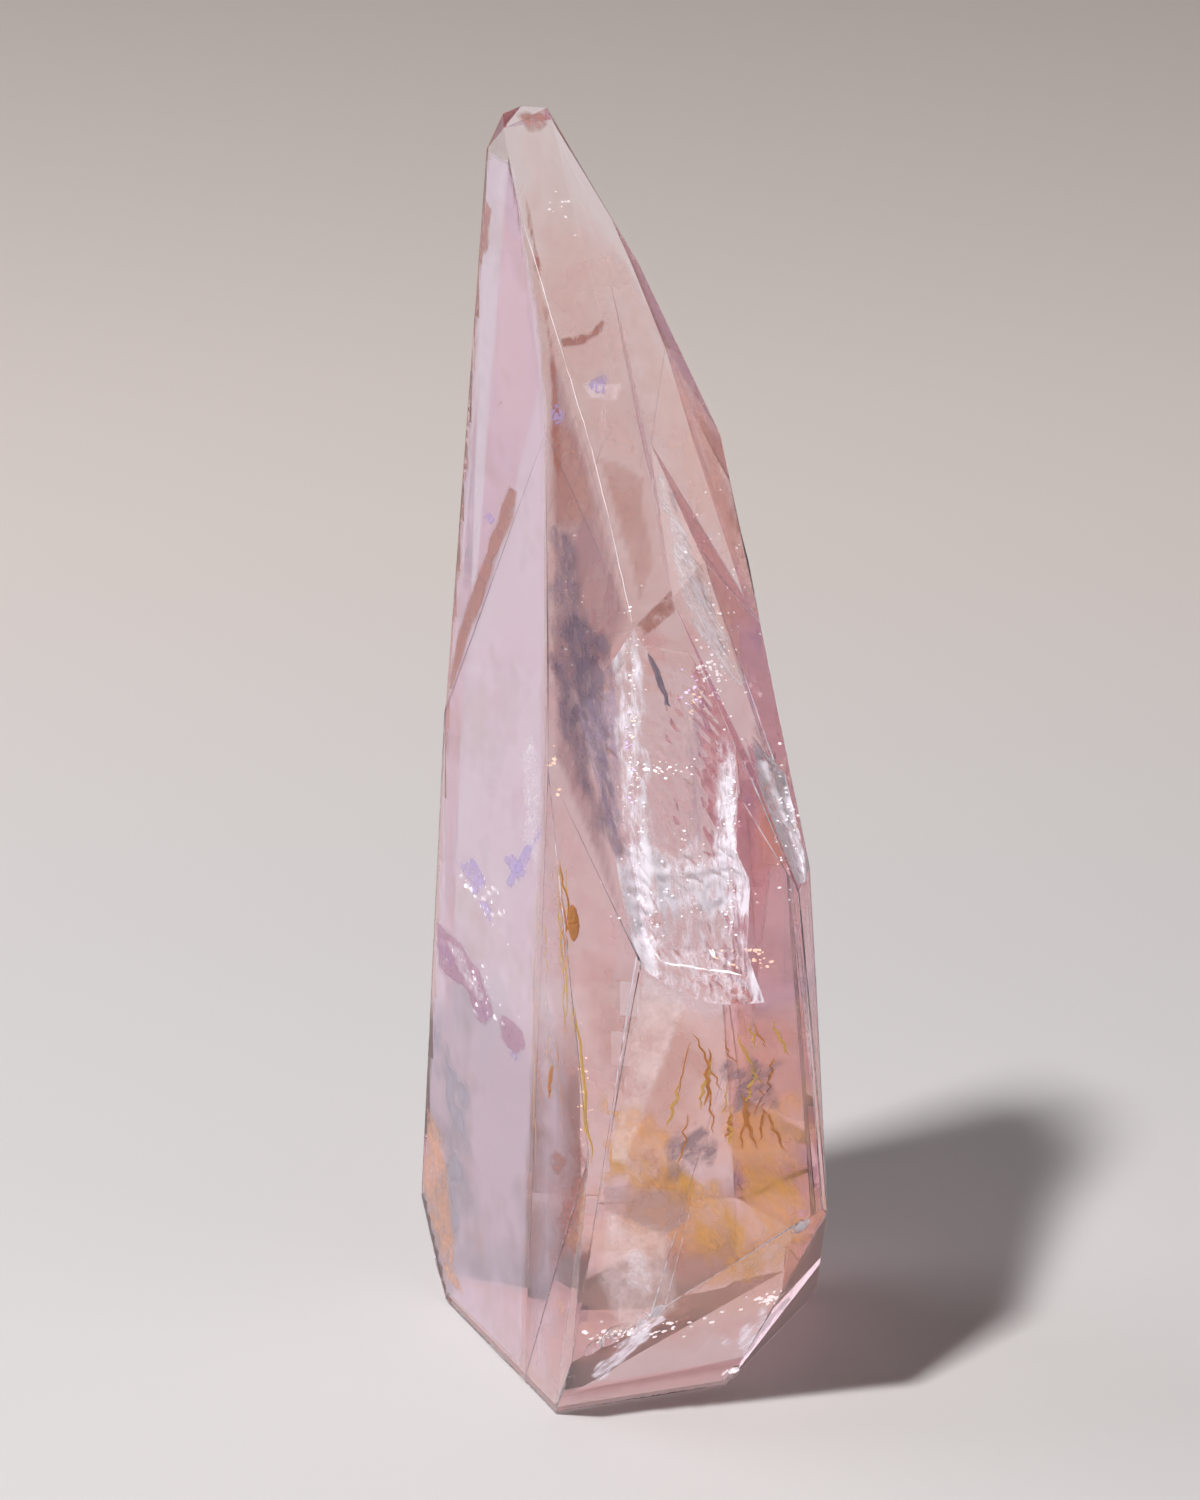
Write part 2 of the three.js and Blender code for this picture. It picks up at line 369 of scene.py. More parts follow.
def tube_path(points, radius, sides=6, taper=0.15):
    """A thin tapered tube through the points, as a bmesh."""
    shape = bmesh.new()
    rings = []
    count = len(points)
    for index, point in enumerate(points):
        ahead = points[min(index + 1, count - 1)] - points[max(index - 1, 0)]
        turn = ahead.to_track_quat("Z", "Y")
        share = index / (count - 1)
        width = radius * (taper + (1 - taper) * math.sin(math.pi * share) ** 0.6)
        ring = []
        for side in range(sides):
            angle = math.tau * side / sides
            offset = Vector((math.cos(angle), math.sin(angle), 0)) * width
            ring.append(shape.verts.new(point + turn @ offset))
        rings.append(ring)
    for first, second in zip(rings, rings[1:]):
        for side in range(sides):
            after = (side + 1) % sides
            shape.faces.new((first[side], first[after], second[after], second[side]))
    shape.faces.new(list(reversed(rings[0])))
    shape.faces.new(rings[-1])
    return shape


def needle(name, start, end, radius, material, deep=0.6, wander=0.13, seed=1):
    """One bent needle under the front surface, from start to end, each (x, z) in millimetres."""
    chance = random.Random(seed)
    points = []
    steps = 9
    for step in range(steps + 1):
        share = step / steps
        x = start[0] + (end[0] - start[0]) * share + chance.uniform(-wander, wander)
        z = start[1] + (end[1] - start[1]) * share
        place, _ = inside(x, z, deep + chance.uniform(0, wander))
        points.append(place)
    return add_shape(name, tube_path(points, radius * MM), material)


def delete_loose_points(shape):
    """Deletes the points that no face uses."""
    loose = [point for point in shape.verts if not point.link_faces]
    bmesh.ops.delete(shape, geom=loose, context="VERTS")


def film(name, at, size, material, deep=0.8, lean=0.0, turn=0.0, seed=1, wave=0.12):
    """A thin, uneven film under the front surface round at=(x, z), size=(width, height).

    lean turns it in the plane of the face, turn swings it inwards about its own long side.
    Lengths are in millimetres and turns in degrees."""
    middle, normal = inside(at[0], at[1], deep)
    upward = (Vector((0, 0, 1)) - normal * normal.z).normalized()
    sideways = upward.cross(normal)
    facing = Matrix((sideways, upward, normal)).transposed()
    swing = Matrix.Rotation(math.radians(turn), 3, "Y")
    slant = Matrix.Rotation(math.radians(lean), 3, "Z")
    shape = bmesh.new()
    cover = shape.verts.layers.float.new("cover")
    steps = 14
    grid = []
    for row in range(steps + 1):
        line = []
        for column in range(steps + 1):
            across = 2 * column / steps - 1
            along = 2 * row / steps - 1
            flat = Vector((across * size[0] / 2, along * size[1] / 2, 0))
            flat.z = wave * size[0] * noise.noise(Vector((across * 1.3, along * 1.3, seed * 7.1)))
            point = shape.verts.new(middle + facing @ slant @ swing @ flat * MM)
            reach = math.hypot(across, along) + 0.35 * noise.noise(
                Vector((across * 2.1, along * 2.1, seed * 3.7))
            )
            point[cover] = min(1, max(0, 1.6 * (1 - reach)))
            line.append(point)
        grid.append(line)
    for lower, upper in zip(grid, grid[1:]):
        for column in range(steps):
            corners = (lower[column], lower[column + 1], upper[column + 1], upper[column])
            if any(corner[cover] > 0 for corner in corners):
                shape.faces.new(corners)
    delete_loose_points(shape)
    return add_shape(name, shape, material, smooth=True)


def edge_distance(place, outline):
    """How far a flat point is inside an outline; less than zero outside it."""
    nearest = min(
        (place - closest_on_line(place, start, end)).length
        for start, end in zip(outline, outline[1:] + outline[:1])
    )
    crossings = sum(
        (start.y > place.y) != (end.y > place.y)
        and place.x < start.x + (place.y - start.y) * (end.x - start.x) / (end.y - start.y)
        for start, end in zip(outline, outline[1:] + outline[:1])
    )
    return nearest if crossings % 2 else -nearest


def closest_on_line(place, start, end):
    """The point of a line nearest to a place."""
    along = end - start
    share = (place - start).dot(along) / along.length_squared
    return start + along * min(1, max(0, share))


def way_in(start, inward, deep):
    """Where a ray enters the crystal, and how much room a film that deep has there, from 0 to 1."""
    place, _, _, _ = finder.ray_cast(start, inward)
    if place is None:
        return None, 0
    _, _, _, thickness = finder.ray_cast(place + inward * 0.01 * MM, inward)
    if thickness is None or thickness < ROOM_NEEDED * deep:
        return None, 0
    return place, min(1, thickness / deep - ROOM_NEEDED)


def veil(name, outline, material, deep=1.0, soft=1.2, cell=0.7, ragged=0.6, inward=INWARD):
    """A film that follows the surface, deep below it, inside an outline of (x, z) points.

    It fades out over its soft edge, which is ragged, and where the crystal is too thin for it.
    All lengths are in millimetres."""
    corners = [Vector(point) for point in outline]
    left = min(corner.x for corner in corners)
    right = max(corner.x for corner in corners)
    bottom = min(corner.y for corner in corners)
    top = max(corner.y for corner in corners)
    columns = math.ceil((right - left) / cell)
    rows = math.ceil((top - bottom) / cell)
    shape = bmesh.new()
    cover = shape.verts.layers.float.new("cover")
    points = {}
    for row in range(rows + 1):
        for column in range(columns + 1):
            flat = Vector((left + column * cell, bottom + row * cell))
            wobble = noise.noise(Vector((flat.x * 0.9, flat.y * 0.5, deep * 5)))
            reach = edge_distance(flat, corners) + ragged * (wobble + 0.2)
            if reach < -cell:
                continue
            place, room = way_in(before(flat.x, flat.y, inward), inward, deep * MM)
            if place is None:
                continue
            point = shape.verts.new(place + inward * deep * MM)
            point[cover] = room * min(1, max(0, reach / soft))
            points[row, column] = point
    for row, column in points:
        around = [(row, column), (row, column + 1), (row + 1, column + 1), (row + 1, column)]
        if all(spot in points for spot in around):
            corners_here = [points[spot] for spot in around]
            depths = [corner.co.y for corner in corners_here]
            if max(depths) - min(depths) < LARGEST_STEP * cell * MM:
                shape.faces.new(corners_here)
    delete_loose_points(shape)
    return add_shape(name, shape, material, smooth=True)


def flakes(name, at, spread, count, size, material, deep, seed):
    """A scatter of small flat flakes under the front surface round at=(x, z), in millimetres."""
    chance = random.Random(seed)
    shape = bmesh.new()
    for _ in range(count):
        x = at[0] + chance.gauss(0, spread[0] / 2)
        z = at[1] + chance.gauss(0, spread[1] / 2)
        place, normal, _, _ = finder.ray_cast(before(x, z), INWARD)
        if place is None:
            continue
        middle = place - normal * deep * MM * chance.uniform(0.6, 1.6)
        tilt = Vector((chance.uniform(-0.8, 0.8), -1, chance.uniform(-0.5, 0.9)))
        facing = tilt.to_track_quat("Z", "Y")
        width = size * MM * chance.uniform(0.4, 1.2)
        corners = 5
        ring = []
        for corner in range(corners):
            angle = math.tau * (corner + chance.uniform(-0.3, 0.3)) / corners
            offset = Vector((math.cos(angle), 0.6 * math.sin(angle), 0)) * width
            ring.append(shape.verts.new(middle + facing @ offset))
        shape.faces.new(ring)
    return add_shape(name, shape, material)


def ease(value):
    """0 below 0, 1 above 1, and a smooth rise between them."""
    share = min(1, max(0, value))
    return share * share * (3 - 2 * share)


def band(value, middle, half, fade):
    """1 within half of the middle, and 0 beyond a further fade."""
    return ease((half + fade - abs(value - middle)) / fade)


def break_brightness(x, z):
    """How bright the break is at x and z: most on its ridge, its wall, its foot and the flake."""
    uneven = noise.noise(Vector((x * 0.5, z * 0.3, 4)))
    ridge_at = RIDGE_AT + 0.05 * (60 - z) - 0.7 * uneven
    ridge = band(x, ridge_at, half=0.55, fade=1.1) * ease((BREAK_TOP - z) / 3)
    wall_at = WALL_AT - 0.012 * (z - 53) ** 2 - 0.3 * uneven
    wall = band(x, wall_at, half=0.48, fade=0.8)
    wall *= ease((WALL_TOP - z) / 3) * ease((z - WALL_FOOT) / 3)
    ice = ease((ICE_TOP - z + 3 * uneven) / 4) * ease((z - ICE_FOOT) / 2)
    foot = ease((ICE_FOOT + 3 - z) / 2)
    flake = ease(x - FLAKE_AT)
    return min(1, 0.46 + 0.34 * ridge + 0.38 * wall + 0.44 * ice + 0.2 * foot + 0.6 * flake)


def break_painted_shade(x, z):
    """How much painted shade lies on the break at x and z: most left of its ridge and left of its wall.
    """
    left = ease((1.0 - x) / 1.5) * ease((z - 46) / 3)
    beside_wall = band(x, 6.1, half=0.48, fade=1.2) * ease((z - 47) / 3) * ease((63 - z) / 3)
    return max(0.12, left, 0.7 * beside_wall)


def skin(crystal, name, material, cover_at, lift):
    """A skin on the break: its faces again, a hair outside them, so that light falls on it."""
    shape = bmesh.new()
    shape.from_mesh(crystal.data)
    mark = shape.faces.layers.int["mark"]
    polished = [face for face in shape.faces if not face[mark]]
    bmesh.ops.delete(shape, geom=polished, context="FACES")
    shape.normal_update()
    cover = shape.verts.layers.float.new("cover")
    for point in shape.verts:
        point[cover] = cover_at(point.co.x / MM, point.co.z / MM)
    for point in shape.verts:
        point.co += point.normal * lift
    piece = add_shape(name, shape, material, smooth=True)
    piece.data.set_sharp_from_angle(angle=BROKEN_TURN)
    return piece


def base_bloom(material):
    """The matt bloom of the sawn base, seen through the crystal from above; its glow is painted light
    that keeps the base from looking dark.
    """
    share = 0.97
    lift = 0.5 * MM
    shape = bmesh.new()
    shape.from_mesh(solid.data)
    shape.normal_update()
    not_base = [face for face in shape.faces if face.normal.z > -0.99]
    bmesh.ops.delete(shape, geom=not_base, context="FACES")
    cover = shape.verts.layers.float.new("cover")
    for point in shape.verts:
        point[cover] = 1.0
        point.co.x *= share
        point.co.y *= share
        point.co.z += lift
    return add_shape("base_bloom", shape, material)


crystal_glass = crystal_material()
rust = grain_material("rust needles", (0.66, 0.27, 0.05))
gold = grain_material("golden needles", (0.88, 0.54, 0.12))
# The bright flakes' strong glow is painted light: it paints glints on the flakes and highlight lines on
# an edge and on the break's rim
spark = grain_material("bright flakes", (0.98, 0.94, 0.97), roughness=0.15, glow=0.7)
rust_film = film_material(
    "rust film", (0.46, 0.19, 0.15), cover=0.8, patch=1.3 * MM, start=0.25, full=0.6
)
rust_line = film_material(
    "rust line", (0.46, 0.18, 0.15), cover=0.8, patch=0.7 * MM, start=0.2, full=0.46, streak=3
)
streak_film = film_material(
    "rust streak", (0.50, 0.24, 0.20), cover=0.85, patch=3 * MM, start=0.1, full=0.45
)
mauve_film = film_material(
    "mauve film", (0.42, 0.20, 0.24),
    cover=0.6, patch=1.4 * MM, start=0.05, full=0.62, streak=5, slant=8, glow=0.12,
)
violet_film = film_material(
    "violet film", (0.58, 0.48, 0.82), cover=0.75, patch=0.9 * MM, start=0.2, full=0.5
)
ochre_film = film_material(
    "ochre film", (0.82, 0.44, 0.07),
    cover=0.82, patch=2.0 * MM, start=0.2, full=0.64, streak=2.2, slant=-35, glow=0.22,
)
terracotta = film_material("terracotta veil", (0.80, 0.34, 0.26), cover=0.7, patch=5 * MM, start=0.15)
lavender = film_material("lavender haze", (0.84, 0.76, 0.92), cover=0.55, patch=14 * MM, start=0.05)
pink = film_material("pink haze", (0.98, 0.56, 0.54), cover=0.22, patch=6 * MM, start=0.1, full=0.6)
peach = film_material(
    "peach haze", (0.98, 0.60, 0.46), cover=0.28, patch=6 * MM, start=0.1, full=0.6, glow=0.32
)
beige = film_material("beige haze", (0.90, 0.58, 0.52), cover=0.22, patch=6 * MM, start=0.1, full=0.6)
back_peach = film_material(
    "peach back", (0.96, 0.60, 0.48), cover=0.42, patch=5 * MM, start=0.2, full=0.7
)
back_pink = film_material("pink back", (0.95, 0.60, 0.60), cover=0.4, patch=5 * MM, start=0.2, full=0.7)
smoke = film_material(
    "smoky streaks", (0.30, 0.24, 0.33),
    cover=0.72, patch=0.5 * MM, start=0.2, full=0.62, streak=8, slant=-12, glow=0.1,
)
smoke_cloud = film_material(
    "smoky cloud", (0.28, 0.21, 0.28),
    cover=0.7, patch=0.9 * MM, start=0.3, full=0.6, streak=1.8, slant=50, glow=0.1,
)
crack_film = film_material(
    "healed crack", (0.95, 0.88, 0.92),
    cover=0.35, patch=1.4 * MM, roughness=0.3, start=0.3, full=0.7, glow=0.25,
)
right_smoke = film_material(
    "right smoke", (0.40, 0.36, 0.42),
    cover=0.6, patch=0.3 * MM, start=0.36, full=0.6, streak=9, slant=-26, glow=0.12,
)
silver = film_material(
    "silvery streaks", (0.93, 0.92, 0.98),
    cover=0.75, patch=0.3 * MM, roughness=0.25, start=0.36, full=0.58, streak=9, slant=-28,
)
frosted = film_material(
    "frosted break", (0.94, 0.90, 1.0),
    cover=0.9, patch=0.6 * MM, roughness=0.22, start=0.28, full=0.52, streak=4, slant=-6, glow=0,
)
break_shade = film_material(
    "break shade", (0.34, 0.27, 0.40),
    cover=0.62, patch=0.45 * MM, roughness=0.3, start=0.3, full=0.62, streak=7, slant=-8, glow=0.05,
)
bloom = film_material(
    "base bloom", (0.98, 0.80, 0.80), cover=0.6, patch=8 * MM, start=0.0, full=0.4, glow=0.3
)
milky = film_material(
    "milky haze", (0.97, 0.88, 0.90), cover=0.6, patch=2.5 * MM, start=0.15, full=0.7, glow=0.35
)
brown_film = film_material(
    "brown film", (0.60, 0.30, 0.24), cover=0.5, patch=4 * MM, start=0.05, full=0.6, glow=0.2
)
foot_silver = film_material(
    "foot shards", (0.94, 0.90, 1.0),
    cover=0.85, patch=0.5 * MM, roughness=0.2, start=0.3, full=0.56, streak=5, slant=42, glow=0.45,
)
orange_film = film_material(
    "orange film", (0.84, 0.46, 0.26), cover=0.8, patch=1.6 * MM, start=0.15, full=0.7
)
blue_grey = film_material(
    "blue grey film", (0.42, 0.42, 0.52), cover=0.62, patch=4 * MM, start=0.1, full=0.55, streak=3
)
grey_film = film_material("grey film", (0.46, 0.38, 0.44), cover=0.5, patch=3 * MM, start=0.05, full=0.6)
edge_peach = film_material(
    "edge peach", (0.94, 0.73, 0.64), cover=0.5, patch=5 * MM, start=0.05, full=0.6, glow=0.35
)
warm_shade = film_material(
    "warm shade", (0.66, 0.34, 0.28), cover=0.62, patch=4 * MM, start=0.15, full=0.7, glow=0.12
)
plum_film = film_material(
    "plum film", (0.52, 0.28, 0.42), cover=0.75, patch=1.0 * MM, start=0.1, full=0.5, glow=0.2
)
# Ember and violet flakes glow strongly: painted orange and violet glints
ember = grain_material("ember flakes", (1.0, 0.72, 0.56), roughness=0.2, glow=0.75)
violet_spark = grain_material("violet flakes", (0.74, 0.56, 1.0), roughness=0.2, glow=0.7)
dark_spindle = grain_material("grey spindle", (0.40, 0.34, 0.44), roughness=0.4, glow=0.1)
white_film = film_material(
    "white film", (0.95, 0.91, 0.97),
    cover=0.6, patch=1.0 * MM, roughness=0.3, start=0.3, full=0.65, glow=0.3,
)

crystal = dressed_crystal(crystal_glass)
skin(crystal, "break_frost", frosted, break_brightness, 2 * SKIN)
# The grey skin on the break is painted shade
skin(crystal, "break_shade", break_shade, break_painted_shade, SKIN)
base_bloom(bloom)


def hazes():
    """Soft tints just under the faces, which make each face a colour of its own."""
    left_face = [
        (-7.9, 0.6), (-15.1, 0.6), (-17.5, 7.4), (-14.9, 53), (-11.3, 102.6), (-8.5, 102.6), (-7.9, 99.7),
        (-6.3, 91.2), (-5.7, 84), (-5.6, 76), (-5.8, 54.8),
    ]
    veil("haze_left", left_face, lavender, deep=0.5, soft=0.3, cell=0.35, ragged=0)
    veil("haze_left_front", [(-5.4, 1), (-7.8, 1), (-6, 53), (-4.8, 40), (-3.2, 22)], lavender, soft=1.8)
    veil("haze_upper_front", [(-6, 92), (-2, 93), (3, 80), (4, 70), (0.5, 69), (-3, 83)], beige)
    veil("haze_upper_right", [(-1, 94), (1, 92), (8, 78), (13, 58), (8, 62), (5, 72)], peach, deep=0.8)
    veil("haze_wedge", [(-5.4, 80), (-3.4, 82), (0, 66), (-3, 56), (-5.4, 60)], beige, deep=1.6)
    veil("haze_shoulder", [(10.2, 57), (13.6, 54), (15.4, 47), (10.4, 46.6)], terracotta, deep=0.8)
    veil("haze_tip", [(-8.6, 105), (-6, 105), (-1, 94), (-6, 91)], beige, deep=0.8)
    veil(
        "haze_edge", [(8.6, 75), (11, 70), (14.6, 54), (15.8, 45), (13.4, 52), (11, 62)], edge_peach,
        deep=0.5, soft=0.5, cell=0.4,
    )
    veil("haze_under_flake", [(10.4, 46), (15.2, 46), (15.6, 38), (11.4, 38)], beige, deep=0.9)
    veil("haze_middle", [(-5, 54), (-1, 48), (0.6, 40), (-2.6, 24), (-4.6, 38)], pink, deep=1.3)
    veil("haze_lower_front", [(-2, 24), (1, 38), (9, 35), (16, 38), (16.4, 22), (4, 22)], peach)
    veil("haze_foot", [(-4, 6), (-3, 21), (16, 20), (16.4, 7), (4, 8)], peach, deep=1.6)
    veil("haze_under", [(-4.6, 1), (-4, 7), (15.6, 9), (9, 1)], pink, deep=1.4)
    veil(
        "haze_milky", [(-1.6, 19), (4.6, 17.6), (5.2, 9.4), (-0.4, 7.6), (-2, 12)], milky,
        deep=0.8, soft=1.2,
    )
    low_shade = [(-3.6, 42), (1.7, 39), (5.7, 36), (9, 31), (5.7, 23), (0.1, 23), (-1.6, 29), (-4, 36)]
    veil("haze_low_shade", low_shade, warm_shade, deep=1.8, soft=2.0)
    veil(
        "haze_triangle", [(1.6, 39.4), (5.7, 36.6), (0.5, 22.2), (-1.1, 23)], milky,
        deep=0.7, soft=0.4, cell=0.5, ragged=0.1,
    )


def back_hazes():
    """Tints just inside the back faces. Seen from the front they colour what shines through."""

    def haze(name, outline, material, deep=1.2):
        veil(name, outline, material, deep=deep, soft=2.5, cell=1.2, ragged=1.5, inward=FORWARD)

    haze("back_low", [(-14, 2), (16, 2), (16, 30), (-14, 24)], back_peach)
    haze("back_middle", [(-14, 26), (15.6, 30), (13, 60), (-13, 60)], back_pink)
    haze("back_high", [(-11, 56), (13, 56), (6, 90), (-9, 102)], back_peach, deep=1.6)


def rust_marks():
    """The dark red-brown streaks and clouds near the surface."""

    def mark(name, outline, deep=0.5, soft=0.7):
        veil(name, outline, rust_film, deep=deep, soft=soft, cell=0.28, ragged=0.5)

    def line(name, outline, deep=0.4):
        veil(name, outline, rust_line, deep=deep, soft=0.45, cell=0.2, ragged=0.25)

    streak = [
        (-8.9, 75.8), (-8.0, 75.6), (-8.4, 72.8), (-9.5, 70.1), (-11.2, 64), (-12.4, 60.3), (-13.7, 55.2),
        (-14.4, 54.8), (-13.2, 61), (-11.7, 66.6), (-10.3, 71.2),
    ]
    veil("streak_left", streak, streak_film, deep=0.3, soft=0.3, cell=0.2, ragged=0.1)
    line("streak_left_top", [(-8.2, 84.6), (-10.6, 80.8), (-11.0, 80), (-9.4, 82.2)])
    line("streak_left_edge", [(-11.4, 80.5), (-12.4, 77.5), (-12.9, 73), (-12.2, 74.5), (-11.9, 77.5)])
    line("cloud_tip_left", [(-11.2, 99.5), (-10, 98), (-10.4, 94.5), (-11.4, 92), (-11.6, 97)])
    mark("cap", [(-8.6, 106), (-5.6, 106.4), (-5.4, 104.8), (-7.4, 104.6)])
    line("sliver_wedge", [(-8, 101), (-7.2, 100), (-4.8, 87), (-4.4, 77), (-5.4, 79), (-5.6, 88)])
    line(
        "arc_upper", [(-5.0, 89.2), (-2.4, 89.6), (-1.0, 90.9), (-1.2, 89.4), (-2.6, 88.4), (-4.8, 88.2)]
    )
    brown_face = [
        (-1.9, 80.1), (0, 79.4), (1.8, 78.1), (2.1, 74.9), (2.8, 71.4), (1.6, 68.8), (-0.6, 76.2),
    ]
    veil("brown_face", brown_face, brown_film, deep=0.5, soft=0.25, cell=0.35, ragged=0.1)
    veil(
        "brown_corner", [(4.2, 69.8), (4.6, 67.7), (1.8, 65.7), (1.1, 67.1)], rust_film,
        deep=0.3, soft=0.3, cell=0.25, ragged=0.1,
    )
    veil(
        "brown_wedge", [(-5.5, 83), (-3.2, 82), (-1.6, 75), (-5.5, 74)], brown_film,
        deep=0.4, soft=0.6, cell=0.4, ragged=0.6,
    )
    veil(
        "lavender_face", [(-3.3, 85.8), (0.2, 85.4), (-0.1, 84), (-2.4, 84.3)], milky,
        deep=0.4, soft=0.3, cell=0.25, ragged=0.3,
    )
    veil(
        "wedge_mauve",
        [
            (-5.7, 90), (-2.6, 80.5), (0.9, 67.5), (-1.5, 63.4), (-3.4, 60), (-1, 50), (0.6, 42),
            (-5.2, 56),
        ],
        mauve_film,
        deep=0.5,
        soft=0.5,
        cell=0.4,
        ragged=0.2,
    )
    veil(
        "band_flake", [(10.2, 58.4), (11.6, 58), (13.8, 55), (12, 54.6)], mauve_film,
        deep=0.4, soft=0.5, cell=0.3,
    )
    cluster = [
        (-15.6, 34), (-13.6, 34), (-12, 33), (-10.2, 31.4), (-9.8, 29.4), (-11.2, 28.2), (-12.8, 29.6),
        (-15.4, 30),
    ]
    veil("cluster_left", cluster, plum_film, deep=0.3, soft=0.5, cell=0.25, ragged=0.9)
    veil(
        "cluster_low", [(-10, 30.6), (-8, 30.8), (-7.6, 29.5), (-8.6, 28.2), (-9.9, 28.4)], plum_film,
        deep=0.3, soft=0.4, cell=0.25,
    )
    veil(
        "cluster_pale", [(-14.6, 33), (-13, 33.2), (-11, 30.6), (-11.6, 29.6), (-14, 31)], white_film,
        deep=0.2, soft=0.5, cell=0.25,
    )
    violet_band = [
        (-6.3, 50.6), (-5.9, 49), (-7.1, 46), (-8.8, 42.2), (-9.5, 42.4), (-8.3, 45.4), (-7.1, 48.4),
    ]
    veil("violet_band", violet_band, violet_film, deep=0.3, soft=0.4, cell=0.2, ragged=0.3)
    veil(
        "spot_low_left", [(-5, 9.6), (-4, 9.6), (-4, 8.2), (-5, 8.2)], orange_film,
        deep=0.6, soft=0.7, cell=0.25,
    )
    veil(
        "spot_low_right", [(-2.8, 9.4), (-1.8, 9.4), (-1.8, 8.2), (-2.8, 8.2)], orange_film,
        deep=0.6, soft=0.7, cell=0.25,
    )
    mark("red_middle", [(-5.8, 23), (-3.6, 22.5), (-4.0, 19.5), (-5.6, 20)], deep=0.6, soft=0.8)
    veil(
        "corner_orange", [(-17, 17), (-15, 15), (-13.4, 2), (-15, 1.6), (-17, 8)], orange_film,
        deep=0.3, soft=0.5, cell=0.3,
    )


def smoky_marks():
    """The grey, fibrous patches."""

    def patch(name, outline, deep=0.7, soft=1.0):
        veil(name, outline, smoke, deep=deep, soft=soft, cell=0.35, ragged=1.0)

    patch(
        "wedge_smoke_high", [(-5.7, 74.6), (-3.4, 74.4), (-2, 68), (-1.4, 61), (-3.8, 58), (-5.7, 62)],
        deep=0.35,
    )
    patch(
        "wedge_smoke_low", [(-5.8, 66), (-4.4, 63), (-1.2, 53.4), (0.8, 46.4), (-2.6, 51), (-5.8, 60)],
        deep=0.35,
    )
    behind = [(-4.6, 67.5), (-1.6, 67.5), (-0.2, 64.9), (-0.3, 56), (0.9, 47.3), (-0.6, 48.6), (-3, 55.7)]
    patch("break_smoke", behind, deep=0.3)
    veil(
        "right_smoke", [(2.0, 83), (3.8, 79), (7.4, 70), (11.4, 58), (9.6, 60), (5, 68)], right_smoke,
        deep=0.5, soft=1.0, cell=0.35,
    )

    def cloud(name, outline, deep=0.7, soft=1.8):
        veil(name, outline, smoke_cloud, deep=deep, soft=soft, cell=0.35, ragged=1.4)

    veil(
        "left_grey", [(-16.2, 25), (-12.6, 22), (-12.4, 12), (-13.6, 5), (-15.2, 7)], blue_grey,
        deep=0.35, soft=1.6, cell=0.5, ragged=1.6,
    )
    cloud("knot_smoke", [(2.6, 25.6), (8, 26.4), (9, 21.6), (3.6, 20.4)])
    cloud("feather_smoke", [(7.2, 32.2), (14, 32.6), (13.4, 26.8), (8.2, 25.8)], deep=0.6)
    veil(
        "corner_grey", [(-1.4, 21), (5.8, 20.4), (5.8, 17.8), (3.7, 16.4), (-1.2, 18.7)], grey_film,
        deep=0.7, soft=0.3, cell=0.35, ragged=0.1,
    )


def violet_marks():
    """The blue-violet spots on the left face and high on the front: x, z and size."""
    spots = [
        (-12.2, 40.6, 1.8), (-10.9, 38.6, 1.2), (-8.4, 44.2, 1.5), (-14.4, 31.6, 1.2), (-11.2, 29.2, 1.1),
        (-8.6, 28.0, 0.9), (-5.0, 83, 1.1), (-1.6, 85.4, 1.3), (-10.4, 72, 0.8),
    ]
    for number, (x, z, size) in enumerate(spots, 1):
        outline = [
            (x - size, z), (x, z + size), (x + 0.8 * size, z + 0.3 * size), (x + 0.3 * size, z - size),
        ]
        veil(f"violet_{number}", outline, violet_film, deep=0.4, soft=0.6, cell=0.2, ragged=0.5)


def ochre_marks():
    """The golden clouds and needles low on the right and in the middle."""

    def cloud(name, outline, deep=0.8, soft=1.4):
        veil(name, outline, ochre_film, deep=deep, soft=soft, cell=0.4, ragged=1.2)

    cloud("cloud_low", [(4.4, 22), (8.4, 22), (13, 12.6), (10.2, 10.8), (6, 15)], deep=0.6)
    cloud("cloud_middle", [(-1.4, 29), (2.2, 28), (7, 20.5), (6, 17.8), (-2, 21)], deep=1.3)
    cloud("cloud_right", [(7, 28), (16.4, 30), (16.9, 17), (13.4, 9.6), (9.4, 12)], deep=1.8, soft=2.4)
    chance = random.Random(5)
    for index in range(22):
        x = chance.uniform(4.5, 12.5)
        z = chance.uniform(27, 36)
        long = chance.uniform(2, 5)
        needle(
            f"needle_right_{index}",
            (x, z),
            (x + long * chance.uniform(-0.3, 0.5), z - long),
            radius=chance.uniform(0.06, 0.19),
            material=rust if index % 3 else gold,
            wander=0.22,
            seed=index,
        )
    for index in range(14):
        x = -6.9 + chance.uniform(-0.6, 2.6)
        z = chance.uniform(26, 48)
        long = chance.uniform(3, 9)
        needle(
            f"needle_middle_{index}",
            (x, z),
            (x + chance.uniform(-0.3, 0.9), max(z - long, 18)),
            radius=chance.uniform(0.04, 0.10),
            material=gold if index % 3 else rust,
            seed=40 + index,
            wander=0.14,
        )
    needle("line_golden", (-7.0, 44), (-7.2, 19.8), radius=0.10, material=gold, seed=7, wander=0.12)
    needle("line_low", (-4.1, 35.4), (-2.4, 22.5), radius=0.14, material=gold, seed=10)
    needle("spindle", (-5.7, 29.6), (-6.0, 26.4), radius=0.28, material=rust, seed=11, wander=0.05)
    needle("blob", (-3.9, 44), (-3.7, 41), radius=0.5, material=rust, seed=12, wander=0.05)


def scatter(rows):
    """Flakes, one piece to a row: name, place, spread, count, size, material, depth and seed."""
    for name, at, spread, count, size, material, deep, seed in rows:
        flakes(name, at, spread, count, size, material, deep, seed)


